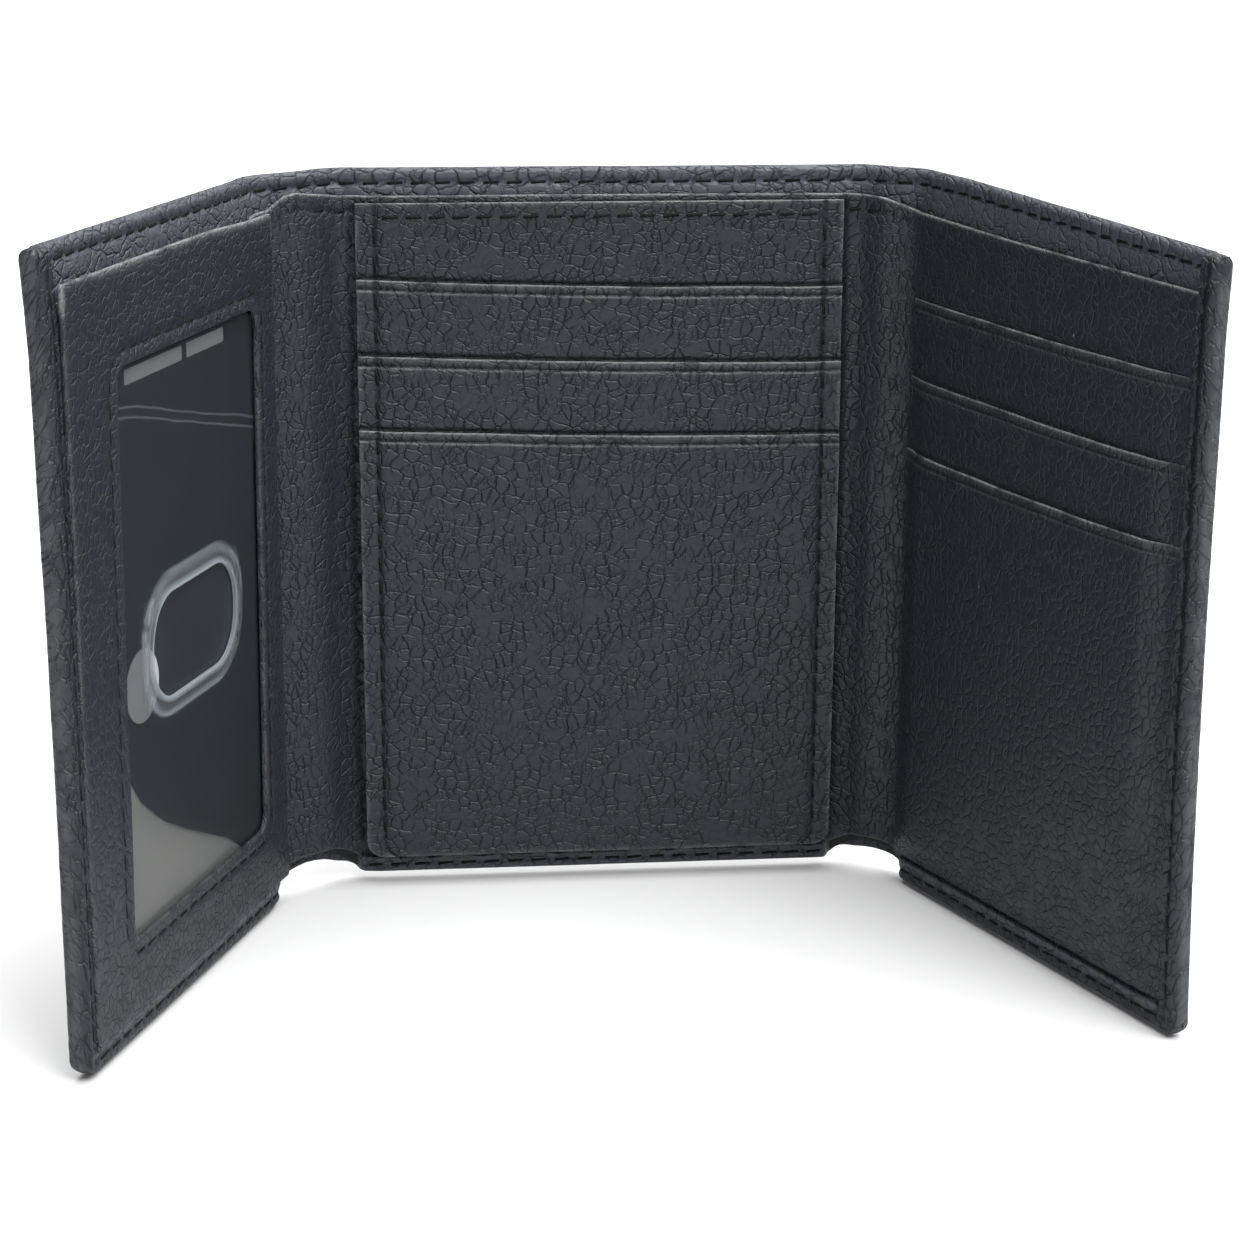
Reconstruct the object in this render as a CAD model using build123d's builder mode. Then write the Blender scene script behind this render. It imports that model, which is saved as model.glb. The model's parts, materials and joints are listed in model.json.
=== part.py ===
"""Trifold wallet standing half open, inner faces towards -Y.

Every leather sheet is measured along the wallet laid flat: u runs from left to right
across the inside, z is up, and depth grows from the outer skin towards the inside.
Three stiff panels (left wing, centre, right wing) are joined by two narrow spines,
and each spine turns about a vertical fold line on each side of it.
"""

import os
from math import cos, radians, sin

from build123d import *

# --- driving dimensions, millimetres and degrees ---
height = 108.0
left_end = -119.0
right_end = 117.0
left_fold = -38.5
left_outer_fold = -52.0
right_fold = 38.5
right_outer_fold = 48.0
left_turn = 68.0
right_turn = 68.0

# leather and layers, as depth from the outer skin
shell_thickness = 1.0
fold_depth = shell_thickness / 2
lining_thickness = 0.2
hem_thickness = 0.5
hem_height = 9.0
wall_back = 1.7
wall_thickness = 0.8
wall_top = 103.0
turned_edge_thickness = 0.5
turned_edge_height = 3.9
turned_edge_width = 3.4
edge_radius = 0.9
spine_relief = 1.5
clear = 0.1

# room left beside each fold line so that a right-angle fold stays free
shell_fold_gap = 0.1
lining_fold_gap = 1.0
hem_fold_gap = 1.3
wall_fold_gap = 2.3
gusset_fold_gap = 1.5

# card pockets
pocket_thickness = 0.5
pocket_step = pocket_thickness + clear
pocket_overlap = 3.0
pocket_bottom = 4.5
pocket_lining_bottom = 8.0
block_half_width = 35.3
block_back_depth = 2.9
block_back_thickness = 0.6
block_slots = [91.6, 80.6, 69.8]
wing_slots = [89.8, 78.4, 67.6]
wing_pocket_end = 112.0
corner_radius = 2.0

# identity window of the left wing
window_left = -103.0
window_right = -59.5
window_bottom = 14.0
window_top = 90.6
window_corner = 2.5
frame_back = 2.6
frame_thickness = 0.8
tongue_thickness = 0.25
vinyl_back = 2.3
vinyl_thickness = 0.2
insert_back = 2.0
insert_thickness = 0.2
insert_top = 93.0
insert_outer_bottom = 37.0
insert_inner_bottom = 14.5
insert_margin = 1.5
thumb_hole = (-80.5, 50.4)
thumb_hole_width = 27.0
thumb_hole_height = 14.4

# thread
stitch_pitch = 3.2
stitch_length = 2.5
stitch_width = 0.45
stitch_height = 0.12
seam_inset = 2.1

bottom_depth = wall_back + wall_thickness + clear + turned_edge_thickness
os.makedirs("parts", exist_ok=True)


# --- where each stiff panel lies: turn about Z, pivot x, pivot y, pivot u ---
def spot(panel, u, depth):
    """World x and y of a point of the sheet."""
    turn, pivot_x, pivot_y, pivot_u = panel
    along = u - pivot_u
    inward = depth - fold_depth
    x = pivot_x + along * cos(radians(turn)) + inward * sin(radians(turn))
    y = pivot_y + along * sin(radians(turn)) - inward * cos(radians(turn))
    return x, y


def panel_after(panel, fold, turn):
    """The panel that follows another one across a fold line."""
    x, y = spot(panel, fold, fold_depth)
    return (turn, x, y, fold)


def layer(panel, depth):
    """Plane of a layer: local X is u, local Y is z, and it faces the inside."""
    turn = radians(panel[0])
    x, y = spot(panel, 0, depth)
    return Plane(origin=(x, y, 0), x_dir=(cos(turn), sin(turn), 0), z_dir=(sin(turn), -cos(turn), 0))


def span(left, right, bottom, top):
    """Rectangle between two u values and two z values, inside a sketch."""
    with Locations(((left + right) / 2, (bottom + top) / 2)):
        Rectangle(right - left, top - bottom)


centre = (0, 0, bottom_depth / 2 - fold_depth, 0)
left_spine = panel_after(centre, left_fold, left_turn / 2)
left_wing = panel_after(left_spine, left_outer_fold, left_turn)
right_spine = panel_after(centre, right_fold, -right_turn / 2)
right_wing = panel_after(right_spine, right_outer_fold, -right_turn)


def finish(part, name):
    part.part.label = name
    export_step(part.part, f"parts/{name}.step")


# --- outer shell ---
def shell(name, panel, left, right, free_side=0, lip_front=bottom_depth, relief=0.0):
    """One stiff panel of the outer skin, with its turned top hem.

    free_side is -1 or 1 where the panel ends in a turned outer edge, and 0 between two folds.
    relief lifts the bottom edge at a spine, which has no turned edge there.
    """
    bevel = shell_thickness - fold_depth + clear
    left_skin = left if free_side < 0 else left + shell_fold_gap
    right_skin = right if free_side > 0 else right - shell_fold_gap
    left_inner = left if free_side < 0 else left_skin + bevel
    right_inner = right if free_side > 0 else right_skin - bevel
    left_hem = left if free_side < 0 else left + hem_fold_gap
    right_hem = right if free_side > 0 else right - hem_fold_gap
    left_lip = left if free_side < 0 else left + wall_fold_gap
    right_lip = right if free_side > 0 else right - wall_fold_gap
    outline = [
        (left_skin, 0),
        (right_skin, 0),
        (right_skin, shell_thickness - (right_skin - right_inner)),
        (right_inner, shell_thickness),
        (left_inner, shell_thickness),
        (left_skin, shell_thickness - (left_inner - left_skin)),
    ]
    if free_side < 0:
        outline.pop()
    if free_side > 0:
        outline.pop(2)
    with BuildPart() as skin:
        with BuildSketch(Plane.XY.offset(relief)):
            with BuildLine():
                Polyline([spot(panel, u, depth) for u, depth in outline], close=True)
            make_face()
        extrude(amount=height - relief)
        with BuildSketch(layer(panel, shell_thickness)):
            span(left_hem, right_hem, height - hem_height, height)
        extrude(amount=hem_thickness)
        if relief == 0:
            with BuildSketch(layer(panel, shell_thickness)):
                span(left_lip, right_lip, 0, shell_thickness)
            extrude(amount=lip_front - shell_thickness)
            with BuildSketch(layer(panel, lip_front - turned_edge_thickness)):
                span(left_lip, right_lip, 0, turned_edge_height)
            extrude(amount=turned_edge_thickness)
        if free_side:
            edge = left if free_side < 0 else right
            wall = sorted([edge, edge - free_side * shell_thickness])
            lip = sorted([edge, edge - free_side * turned_edge_width])
            with BuildSketch(layer(panel, shell_thickness)):
                span(*wall, 0, height)
            extrude(amount=lip_front - shell_thickness)
            with BuildSketch(layer(panel, lip_front - turned_edge_thickness)):
                span(*lip, 0, height)
            extrude(amount=turned_edge_thickness)
            turn = radians(panel[0])
            outward = Axis((0, 0, 0), (free_side * cos(turn), free_side * sin(turn), 0))
            free_edges = skin.edges().filter_by(Axis.Z).group_by(outward)[-1]
            fillet(free_edges, radius=edge_radius)
    finish(skin, name)


frame_front = frame_back + frame_thickness
left_lip_front = frame_front
shell("shell_centre", centre, left_fold, right_fold)
shell("shell_left_spine", left_spine, left_outer_fold, left_fold, relief=spine_relief)
shell("shell_left_wing", left_wing, left_end, left_outer_fold, free_side=-1, lip_front=left_lip_front)
shell("shell_right_spine", right_spine, right_fold, right_outer_fold, relief=spine_relief)
shell("shell_right_wing", right_wing, right_outer_fold, right_end, free_side=1)


# --- flat sheets ---
def sheet(name, panel, depth, thickness, left, right, bottom, top, corner=0.0):
    """A flat rectangular sheet, with its two bottom corners rounded where asked."""
    with BuildPart() as flat:
        with BuildSketch(layer(panel, depth)) as outline:
            span(left, right, bottom, top)
            if corner:
                fillet(outline.vertices().group_by(Axis.Y)[0], radius=corner)
        extrude(amount=thickness)
    finish(flat, name)


# lining glued behind the outer skin, under the top hem
lining_top = height - hem_height - clear
for name, panel, left, right, bottom in [
    ("bill_lining_centre", centre, left_fold + lining_fold_gap, right_fold - lining_fold_gap, 1.1),
    ("bill_lining_left_spine", left_spine, left_outer_fold + lining_fold_gap, left_fold - lining_fold_gap, 1.6),
    ("bill_lining_left_wing", left_wing, left_end + 1.1, left_outer_fold - lining_fold_gap, 1.1),
    ("bill_lining_right_spine", right_spine, right_fold + lining_fold_gap, right_outer_fold - lining_fold_gap, 1.6),
    ("bill_lining_right_wing", right_wing, right_outer_fold + lining_fold_gap, right_end - 1.1, 1.1),
]:
    sheet(name, panel, shell_thickness, lining_thickness, left, right, bottom, lining_top)

# front wall of the note compartment, with a gusset of the same leather at each spine
tray_gap = shell_thickness + clear
wall_left = left_fold + wall_fold_gap
wall_right = right_fold - wall_fold_gap
sheet("bill_wall_centre", centre, wall_back, wall_thickness, wall_left, wall_right, tray_gap, wall_top)
sheet("bill_wall_right", right_wing, wall_back, wall_thickness,
      right_outer_fold + wall_fold_gap, right_end - tray_gap, tray_gap, wall_top)
sheet("gusset_left", left_spine, wall_back, wall_thickness,
      left_outer_fold + gusset_fold_gap, left_fold - gusset_fold_gap, turned_edge_height + 1, wall_top + 1)
sheet("gusset_right", right_spine, wall_back, wall_thickness,
      right_fold + gusset_fold_gap, right_outer_fold - gusset_fold_gap, turned_edge_height + 1, wall_top + 1)


# --- card pockets: overlapping strips, each with a cloth tail that reaches down ---
def pockets(prefix, panel, left, right, slots, first_depth):
    """Three pocket fronts from the top slot down, the lowest one frontmost."""
    names = ["top", "middle", "bottom"]
    for index, slot in enumerate(slots):
        depth = first_depth + index * pocket_step
        last = index == len(slots) - 1
        strip_bottom = pocket_bottom if last else slots[index + 1] - pocket_overlap
        rounded = corner_radius if last else 0.0
        sheet(f"{prefix}_pocket_{names[index]}", panel, depth, pocket_thickness,
              left, right, strip_bottom, slot, rounded)
        if not last:
            sheet(f"{prefix}_lining_{names[index]}", panel, depth, lining_thickness,
                  left + 2, right - 2, pocket_lining_bottom, strip_bottom - clear)


block_front = block_back_depth + block_back_thickness
sheet("slip_pocket_lining", centre, wall_back + wall_thickness + clear, lining_thickness,
      -block_half_width, block_half_width, pocket_bottom, block_slots[0])
sheet("card_block_back", centre, block_back_depth, block_back_thickness,
      -block_half_width, block_half_width, pocket_bottom, wall_top, corner_radius)
pockets("card", centre, -block_half_width, block_half_width, block_slots, block_front + clear)
pockets("wing", right_wing, right_outer_fold + wall_fold_gap, wing_pocket_end, wing_slots,
        wall_back + wall_thickness + clear)

# --- identity window on the left wing ---
frame_right = left_outer_fold - wall_fold_gap
pocket_left = left_end + turned_edge_width + clear
sheet("id_pocket_back", left_wing, wall_back, lining_thickness,
      left_end + tray_gap, frame_right, tray_gap, wall_top - 2)

with BuildPart() as frame:
    with BuildSketch(layer(left_wing, frame_back)):
        span(left_end + tray_gap, frame_right, tray_gap, wall_top)
    extrude(amount=tongue_thickness)
    with BuildSketch(layer(left_wing, frame_back)):
        span(pocket_left, frame_right, turned_edge_height + clear, wall_top)
    extrude(amount=frame_thickness)
    with BuildSketch(layer(left_wing, frame_back)) as opening:
        span(window_left, window_right, window_bottom, window_top)
        fillet(opening.vertices(), radius=window_corner)
    extrude(amount=frame_thickness, mode=Mode.SUBTRACT)
finish(frame, "id_frame")

with BuildPart() as window:
    with BuildSketch(layer(left_wing, vinyl_back)):
        span(window_left - 3, window_right + 3, window_bottom - 3, window_top + 3)
        with Locations(thumb_hole):
            SlotOverall(thumb_hole_width, thumb_hole_height, mode=Mode.SUBTRACT)
    extrude(amount=vinyl_thickness)
finish(window, "id_window")

# the insert card has one large round corner at its outer bottom
with BuildPart() as insert:
    card_left = window_left - insert_margin
    card_right = window_right + insert_margin
    with BuildSketch(layer(left_wing, insert_back)):
        with BuildLine():
            Line((card_left, insert_outer_bottom), (card_left, insert_top))
            Line((card_left, insert_top), (card_right, insert_top))
            Line((card_right, insert_top), (card_right, insert_inner_bottom))
            ThreePointArc(
                (card_right, insert_inner_bottom),
                ((card_left + card_right) / 2 - 6, insert_inner_bottom + 7.5),
                (card_left, insert_outer_bottom),
            )
        make_face()
    extrude(amount=insert_thickness)
finish(insert, "id_insert")


# --- thread, one node for each panel, each stitch a solid of its own ---
def thread(name, panel, level_rows, upright_rows=()):
    """Rows of stitches, each row given as depth, start, end and its place across."""
    with BuildPart() as stitches:
        for depth, start, end, z in level_rows:
            with BuildSketch(layer(panel, depth)):
                with Locations(((start + end) / 2, z)):
                    with GridLocations(stitch_pitch, 1, int((end - start) / stitch_pitch), 1):
                        Rectangle(stitch_length, stitch_width)
            extrude(amount=stitch_height)
        for depth, start, end, u in upright_rows:
            with BuildSketch(layer(panel, depth)):
                with Locations((u, (start + end) / 2)):
                    with GridLocations(1, stitch_pitch, 1, int((end - start) / stitch_pitch)):
                        Rectangle(stitch_width, stitch_length)
            extrude(amount=stitch_height)
    finish(stitches, name)


def pocket_seam(slots, first_depth, u):
    """Upright rows down the pocket fronts at one u, one row on each front."""
    lows = [slots[1] + 1, slots[2] + 1, pocket_bottom + 3]
    faces = [first_depth + index * pocket_step + pocket_thickness for index in range(3)]
    return [(face, low, slot - 1, u) for face, low, slot in zip(faces, lows, slots)]


hem_face = shell_thickness + hem_thickness
wall_face = wall_back + wall_thickness
bottom_seam = turned_edge_height / 2
top_seam = height - seam_inset
wall_seam = wall_top - seam_inset
block_seam = block_half_width - 2.6

thread(
    "stitching_centre",
    centre,
    [
        (hem_face, left_fold + 2, right_fold - 2, top_seam),
        (bottom_depth, wall_left + 1, wall_right - 1, bottom_seam),
    ],
    pocket_seam(block_slots, block_front + clear, -block_seam)
    + pocket_seam(block_slots, block_front + clear, block_seam)
    + [(block_front, block_slots[0] + 1, wall_top - 2, side * block_seam) for side in (-1, 1)],
)
thread(
    "stitching_left_wing",
    left_wing,
    [
        (hem_face, left_end + 5, left_outer_fold - 2, top_seam),
        (frame_front, left_end + 5, frame_right - 1, wall_seam),
        (frame_front, left_end + 5, frame_right - 1, bottom_seam),
        (frame_front, window_left, window_right, window_bottom - seam_inset),
        (frame_front, window_left, window_right, window_top + seam_inset),
    ],
    [
        (frame_front, window_bottom, window_top, window_left - seam_inset),
        (frame_front, window_bottom, window_top, window_right + seam_inset),
    ],
)
thread(
    "stitching_right_wing",
    right_wing,
    [
        (hem_face, right_outer_fold + 2, right_end - 5, top_seam),
        (wall_face, right_outer_fold + 4, right_end - 5, wall_seam),
        (bottom_depth, right_outer_fold + 4, right_end - 5, bottom_seam),
    ],
    pocket_seam(wing_slots, wall_face + clear, wing_pocket_end - seam_inset),
)
for side, panel, left, right in [
    ("left", left_spine, left_outer_fold, left_fold),
    ("right", right_spine, right_fold, right_outer_fold),
]:
    thread(
        f"stitching_{side}_spine",
        panel,
        [
            (hem_face, left + hem_fold_gap, right - hem_fold_gap, top_seam),
            (wall_face, left + gusset_fold_gap, right - gusset_fold_gap, wall_seam),
        ],
    )
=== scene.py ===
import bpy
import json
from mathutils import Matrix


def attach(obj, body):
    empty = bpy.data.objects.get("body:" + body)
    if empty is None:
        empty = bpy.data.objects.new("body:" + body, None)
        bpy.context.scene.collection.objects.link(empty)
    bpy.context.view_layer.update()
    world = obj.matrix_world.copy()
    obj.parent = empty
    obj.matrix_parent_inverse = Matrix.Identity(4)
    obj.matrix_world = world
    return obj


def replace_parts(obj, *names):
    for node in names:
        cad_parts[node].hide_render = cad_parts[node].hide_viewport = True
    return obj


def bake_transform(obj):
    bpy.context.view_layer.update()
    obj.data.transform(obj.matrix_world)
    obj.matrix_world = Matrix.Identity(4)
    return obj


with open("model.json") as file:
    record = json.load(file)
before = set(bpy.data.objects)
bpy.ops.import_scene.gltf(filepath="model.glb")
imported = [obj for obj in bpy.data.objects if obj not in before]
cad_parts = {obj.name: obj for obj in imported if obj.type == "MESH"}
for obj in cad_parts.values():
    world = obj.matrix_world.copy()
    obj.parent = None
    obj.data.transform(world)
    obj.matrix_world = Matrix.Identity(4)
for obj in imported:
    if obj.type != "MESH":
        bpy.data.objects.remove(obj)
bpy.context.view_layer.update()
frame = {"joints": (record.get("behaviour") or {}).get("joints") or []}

import json
import math

import bpy
import numpy as np
from mathutils import Quaternion, Vector, noise

noise.seed_set(3)

mm = 0.001


# the wallet laid flat: u to the right, z up, depth from the outer skin inwards, all in mm
joints = {joint["name"]: joint for joint in frame["joints"]}


def foldAt(name):
    return Vector(joints[name]["pos_m"]) / mm


def foldOf(side, sign):
    inner, outer = foldAt(side + "_fold_inner"), foldAt(side + "_fold_outer")
    width = (outer - inner).length
    turn = math.asin((inner.y - outer.y) / width)      # how far one fold is turned at rest
    return {"inner": inner.x, "outer": inner.x + sign * width, "turn": -sign * turn, "sign": sign}


folds = {"left": foldOf("left", -1), "right": foldOf("right", 1)}
for side, reach, flare in (("left", 5.6, 0.0), ("right", 4.6, 1.2)):
    folds[side]["reach"] = reach      # half the width over which the leather bends
    folds[side]["flare"] = math.radians(flare)      # how far the bottom outer corner stands out
flareHeight = 60
neutralY = foldAt("left_fold_inner").y
leather = {"skin": 1.0, "neutral": 0.5, "hem": 1.5, "wallBack": 1.7, "wallFront": 2.5,
           "lip": {"left": 3.15, "right": 3.1}}      # depth of each layer's face
wallet = {"left": -119.0, "right": 117.0, "height": 108.0, "wallTop": 103.6, "lipTop": 3.9, "inside": 1.6}
middle = {side: (fold["inner"] + fold["outer"]) / 2 for side, fold in folds.items()}

# which folds turn a stiff piece on each body: (inner, outer)
panelTurns = {"centre": (0, 0), "left_wing": (1, 1), "right_wing": (1, 1), "insert": (1, 1)}


def smooth(t):
    t = np.clip(t, 0, 1)
    return t * t * (3 - 2 * t)


def ridge(x, place, width):
    return np.exp(-((x - place) / width) ** 2)


def turnAbout(x, y, pivot, angle):
    cos, sin = np.cos(angle), np.sin(angle)
    dx, dy = x - pivot, y - neutralY
    return pivot + dx * cos - dy * sin, neutralY + dx * sin + dy * cos


# flat points (u, z, depth) in mm to the half open wallet, in metres; a stiff piece names its body
def folded(flat, body=None):
    u, z, depth = np.array(flat, float).reshape(-1, 3).T
    x, y = u.copy(), neutralY - (depth - leather["neutral"])
    for side, fold in folds.items():
        here = u * fold["sign"] > 0
        for index, line in ((1, "outer"), (0, "inner")):
            if body in panelTurns:
                share = np.full(len(u), float(panelTurns[body][index]))
            else:
                start = abs(fold[line]) - fold["reach"]
                share = smooth((np.abs(u) - start) / (2 * fold["reach"]))
            turn = fold["turn"] * share
            if line == "outer":
                turn = turn + fold["flare"] * share * np.clip(1 - z / flareHeight, 0, 1) ** 2
            newX, newY = turnAbout(x, y, fold[line], turn)
            x, y = np.where(here, newX, x), np.where(here, newY, y)
    return np.stack([x, y, z], 1) * mm


# works out where the bend at one fold line starts and ends, then only bakes the piece's transform
def blendAcross(piece, side, line):
    fold = folds[side]
    edges = [fold["sign"] * (abs(fold[line]) + step) for step in (-fold["reach"], fold["reach"])]
    start, end = folded([[edge, 0, leather["neutral"]] for edge in edges])
    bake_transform(piece)


# every layer that folds is cut in four: at the middle of each spine and halfway between them
quarters = {"LeftOuter": ("left", "outer", "LTB"), "LeftInner": ("left", "inner", "TB"),
            "RightInner": ("right", "inner", "TB"), "RightOuter": ("right", "outer", "RTB")}


def foldedLayer(prefix, leftEnd, rightEnd, nodes, makeQuarter):
    cuts = [leftEnd, middle["left"], 0, middle["right"], rightEnd]
    for index, (name, (side, line, edges)) in enumerate(quarters.items()):
        spec = {"left": cuts[index], "right": cuts[index + 1], "edges": edges}
        piece = makeQuarter(prefix + name, spec, side, line)
        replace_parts(piece, *nodes[index])
        blendAcross(piece, side, line)


def standsFor(piece, node, body):
    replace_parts(piece, node)
    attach(piece, body)


print("frame read, folds at", {side: round(fold["inner"], 1) for side, fold in folds.items()})


# working a sheet: a flat grid is given its thickness, then shaped and folded
def deselectAll():
    bpy.ops.object.select_all(action="DESELECT")


def thicken(obj):
    modifier = obj.modifiers.new("thickness", "SOLIDIFY")
    modifier.thickness, modifier.offset = 0.2, 0      # only parts the two sides; the real depths come later
    bpy.context.view_layer.objects.active = obj
    bpy.ops.object.modifier_apply(modifier=modifier.name)


def namedGrid(name, columns, rows):
    deselectAll()
    bpy.ops.mesh.primitive_grid_add(x_subdivisions=columns, y_subdivisions=rows, size=2)
    obj = bpy.context.object
    obj.name = obj.data.name = name
    return obj


def placesOf(obj):
    return np.array([v.co for v in obj.data.vertices])


def inEditMode(obj, work):
    bpy.context.view_layer.objects.active = obj
    bpy.ops.object.mode_set(mode="EDIT")
    bpy.ops.mesh.select_all(action="SELECT")
    work()
    bpy.ops.object.mode_set(mode="OBJECT")


# even lines, with closer ones at each fine place given as (place, offsets)
def linesBetween(start, end, step, fine=()):
    count = max(1, round((end - start) / step))
    lines = list(np.linspace(start, end, count + 1))
    for place, offsets in fine:
        near = [place + offset for offset in offsets]
        low, high = min(near), max(near)
        lines = [x for x in lines if x <= low - step / 3 or x >= high + step / 3] + near
    lines = [x for x in lines if start < x < end]
    return np.array([start] + sorted(lines) + [end])


# lines across a sheet, closer at its rounded edges and at the fine places of its own
def linesAcross(spec, start, end, letters, fine):
    steps = [spec["round"] * share for share in (0.05, 0.16, 0.32, 0.55, 0.8, 1.05)]
    rounded = [(spec[edge], [way * step for step in steps])
               for edge, letter, way in zip((start, end), letters, (1, -1)) if letter in spec["edges"]]
    return linesBetween(spec[start], spec[end], spec["step"], rounded + spec.get(fine, []))


# height of the leather's pebbles from 0 in the valleys to 1 on top
def pebbles(u, z, size, layer=0.0):
    heights = np.zeros(u.shape)
    for index in np.ndindex(u.shape):
        place = Vector((u[index] / size, z[index] / size, layer))
        place = place + 0.45 * noise.noise_vector(place * 0.8)
        near = noise.voronoi(place)[0]
        heights[index] = min(1.0, (near[1] - near[0]) * 1.7)
    return heights


# slow uneven swell between -1 and 1
def waves(u, z, length, layer=0.0):
    out = np.zeros(u.shape)
    for index in np.ndindex(u.shape):
        out[index] = noise.noise(Vector((u[index] / length[0], z[index] / length[1], layer)))
    return out


# how far a rounded edge has fallen back at a distance from it
def inset(distance, radius):
    near = np.clip(1 - distance / radius, 0, 1)
    return radius * (1 - np.sqrt(1 - near * near))


# how far a point is from the nearest rounded edge, with round corners
def edgeDistance(u, z, spec, radius):
    sides, far = spec["edges"], np.full(u.shape, 1e3)
    du = np.minimum(u - spec["left"] if "L" in sides else far, spec["right"] - u if "R" in sides else far)
    dz = np.minimum(z - spec["bottom"] if "B" in sides else far, spec["top"] - z if "T" in sides else far)
    near = np.minimum(du, dz)
    cornerwise = np.hypot(np.clip(radius - du, 0, None), np.clip(radius - dz, 0, None))
    return np.where(near > radius, near, radius - cornerwise)


def storeAttribute(mesh, name, kind, key, values):
    mesh.attributes.new(name, kind, "POINT").data.foreach_set(key, np.asarray(values, np.float32).ravel())


# puts the flat points in their folded places and keeps what the materials read
def finishSheet(obj, flat, edge, body, material, smoothAngle=50, hem=None):
    mesh = obj.data
    mesh.vertices.foreach_set("co", folded(flat, body).astype(np.float32).ravel())
    storeAttribute(mesh, "flatPlace", "FLOAT_VECTOR", "vector", flat * mm)
    storeAttribute(mesh, "edge", "FLOAT", "value", edge)
    if hem is not None:
        storeAttribute(mesh, "hem", "FLOAT", "value", hem)
    mesh.update()
    deselectAll()
    obj.select_set(True)
    bpy.context.view_layer.objects.active = obj
    bpy.ops.object.shade_smooth_by_angle(angle=math.radians(smoothAngle))
    mesh.materials.clear()
    mesh.materials.append(material)
    return obj


# a flat sheet with thickness; returns it with each vertex's column, row and side
def gridSheet(name, uLines, zLines):
    columns, rows = len(uLines) - 1, len(zLines) - 1
    obj = namedGrid(name, columns, rows)
    thicken(obj)
    co = placesOf(obj)
    column = np.rint((co[:, 0] + 1) / 2 * columns).astype(int)
    row = np.rint((co[:, 1] + 1) / 2 * rows).astype(int)
    return obj, column, row, co[:, 2] > 0


wearAndHighlightWidth = 0.16      # how far the lighter edge, partly rubbed wear and partly painted highlight, reaches in from an edge


# a rectangular leather or cloth sheet with rounded edges; relief adds to its front and back
def sheet(name, spec, body, material, relief=None):
    spec = dict({"edges": "LRTB"}, **spec)
    radius = spec["round"]
    uLines = linesAcross(spec, "left", "right", "LR", "fineU")
    zLines = linesAcross(spec, "bottom", "top", "BT", "fineZ")
    obj, column, row, isFront = gridSheet(name, uLines, zLines)
    u, z = np.meshgrid(uLines, zLines, indexing="ij")
    distance = edgeDistance(u, z, spec, radius)
    front, back = np.full(u.shape, float(spec["front"])), np.full(u.shape, float(spec["back"]))
    placeU, placeZ = u.copy(), z.copy()
    if relief:
        front, back, placeU, placeZ = relief(u, z, front, back, distance)
    local = np.minimum(radius, (front - back) * 0.49)
    front, back = front - inset(distance, local), back + inset(distance, local)
    corner = spec.get("corner", 0)
    if corner:
        low = inset(z - spec["bottom"], corner)
        half = (spec["right"] - spec["left"]) / 2
        placeU = placeU - (u - spec["left"] - half) / half * low
    flat = np.stack([placeU[column, row], placeZ[column, row],
                     np.where(isFront, front[column, row], back[column, row])], 1)
    # lighter edges all round, partly wear and partly painted highlight; the lines and columns below add painted
    # highlight where their amount is above 0 and painted shade where it is below 0
    edge = np.exp(-np.clip(distance, 0, None) / wearAndHighlightWidth)
    for place, width, amount in spec.get("lines", []):
        edge = edge + amount * ridge(z, place(u) if callable(place) else place, width)
    for place, width, amount in spec.get("columns", []):
        edge = edge + amount * ridge(u, place, width)
    # painted highlight share, on the front only
    hem = spec["hem"](u, z)[column, row] * isFront if "hem" in spec else None
    return finishSheet(obj, flat, np.clip(edge, -1, 1)[column, row], body, material, hem=hem)


print("tools ready")


# materials
def newGroup(name, inputs, outputs):
    group = bpy.data.node_groups.new(name, "ShaderNodeTree")
    for socket, kind, value in inputs:
        made = group.interface.new_socket(socket, in_out="INPUT", socket_type=kind)
        if value is not None:
            made.default_value = value
    for socket, kind in outputs:
        group.interface.new_socket(socket, in_out="OUTPUT", socket_type=kind)
    return group, group.nodes.new("NodeGroupInput"), group.nodes.new("NodeGroupOutput")


def feed(tree, socket, value):
    if isinstance(value, bpy.types.NodeSocket):
        tree.links.new(value, socket)
    else:
        socket.default_value = value


# values go to sockets by name, or by number as _0, _1
def addNode(tree, kind, settings=None, **values):
    node = tree.nodes.new(kind)
    for key, value in (settings or {}).items():
        setattr(node, key, value)
    for key, value in values.items():
        feed(tree, node.inputs[int(key[1:]) if key[0] == "_" else key], value)
    return node


def mathNode(tree, operation, first, second=0.0, clamp=False):
    node = addNode(tree, "ShaderNodeMath", {"operation": operation, "use_clamp": clamp}, _0=first, _1=second)
    return node.outputs[0]


def times(tree, first, second):
    return mathNode(tree, "MULTIPLY", first, second)


def mixColour(tree, factor, first, second):
    return addNode(tree, "ShaderNodeMix", {"data_type": "RGBA"}, _0=factor, _6=first, _7=second).outputs[2]


def mapRange(tree, value, low, high, toLow=0.0, toHigh=1.0):
    node = addNode(tree, "ShaderNodeMapRange", None, Value=value)
    for key, number in zip(("From Min", "From Max", "To Min", "To Max"), (low, high, toLow, toHigh)):
        node.inputs[key].default_value = number
    return node.outputs[0]


def noiseAt(tree, place, scale, detail):
    return addNode(tree, "ShaderNodeTexNoise", None, Vector=place, Scale=scale, Detail=detail).outputs["Fac"]


def readAttribute(tree, name, output="Fac"):
    return addNode(tree, "ShaderNodeAttribute", {"attribute_name": name}).outputs[output]


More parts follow.
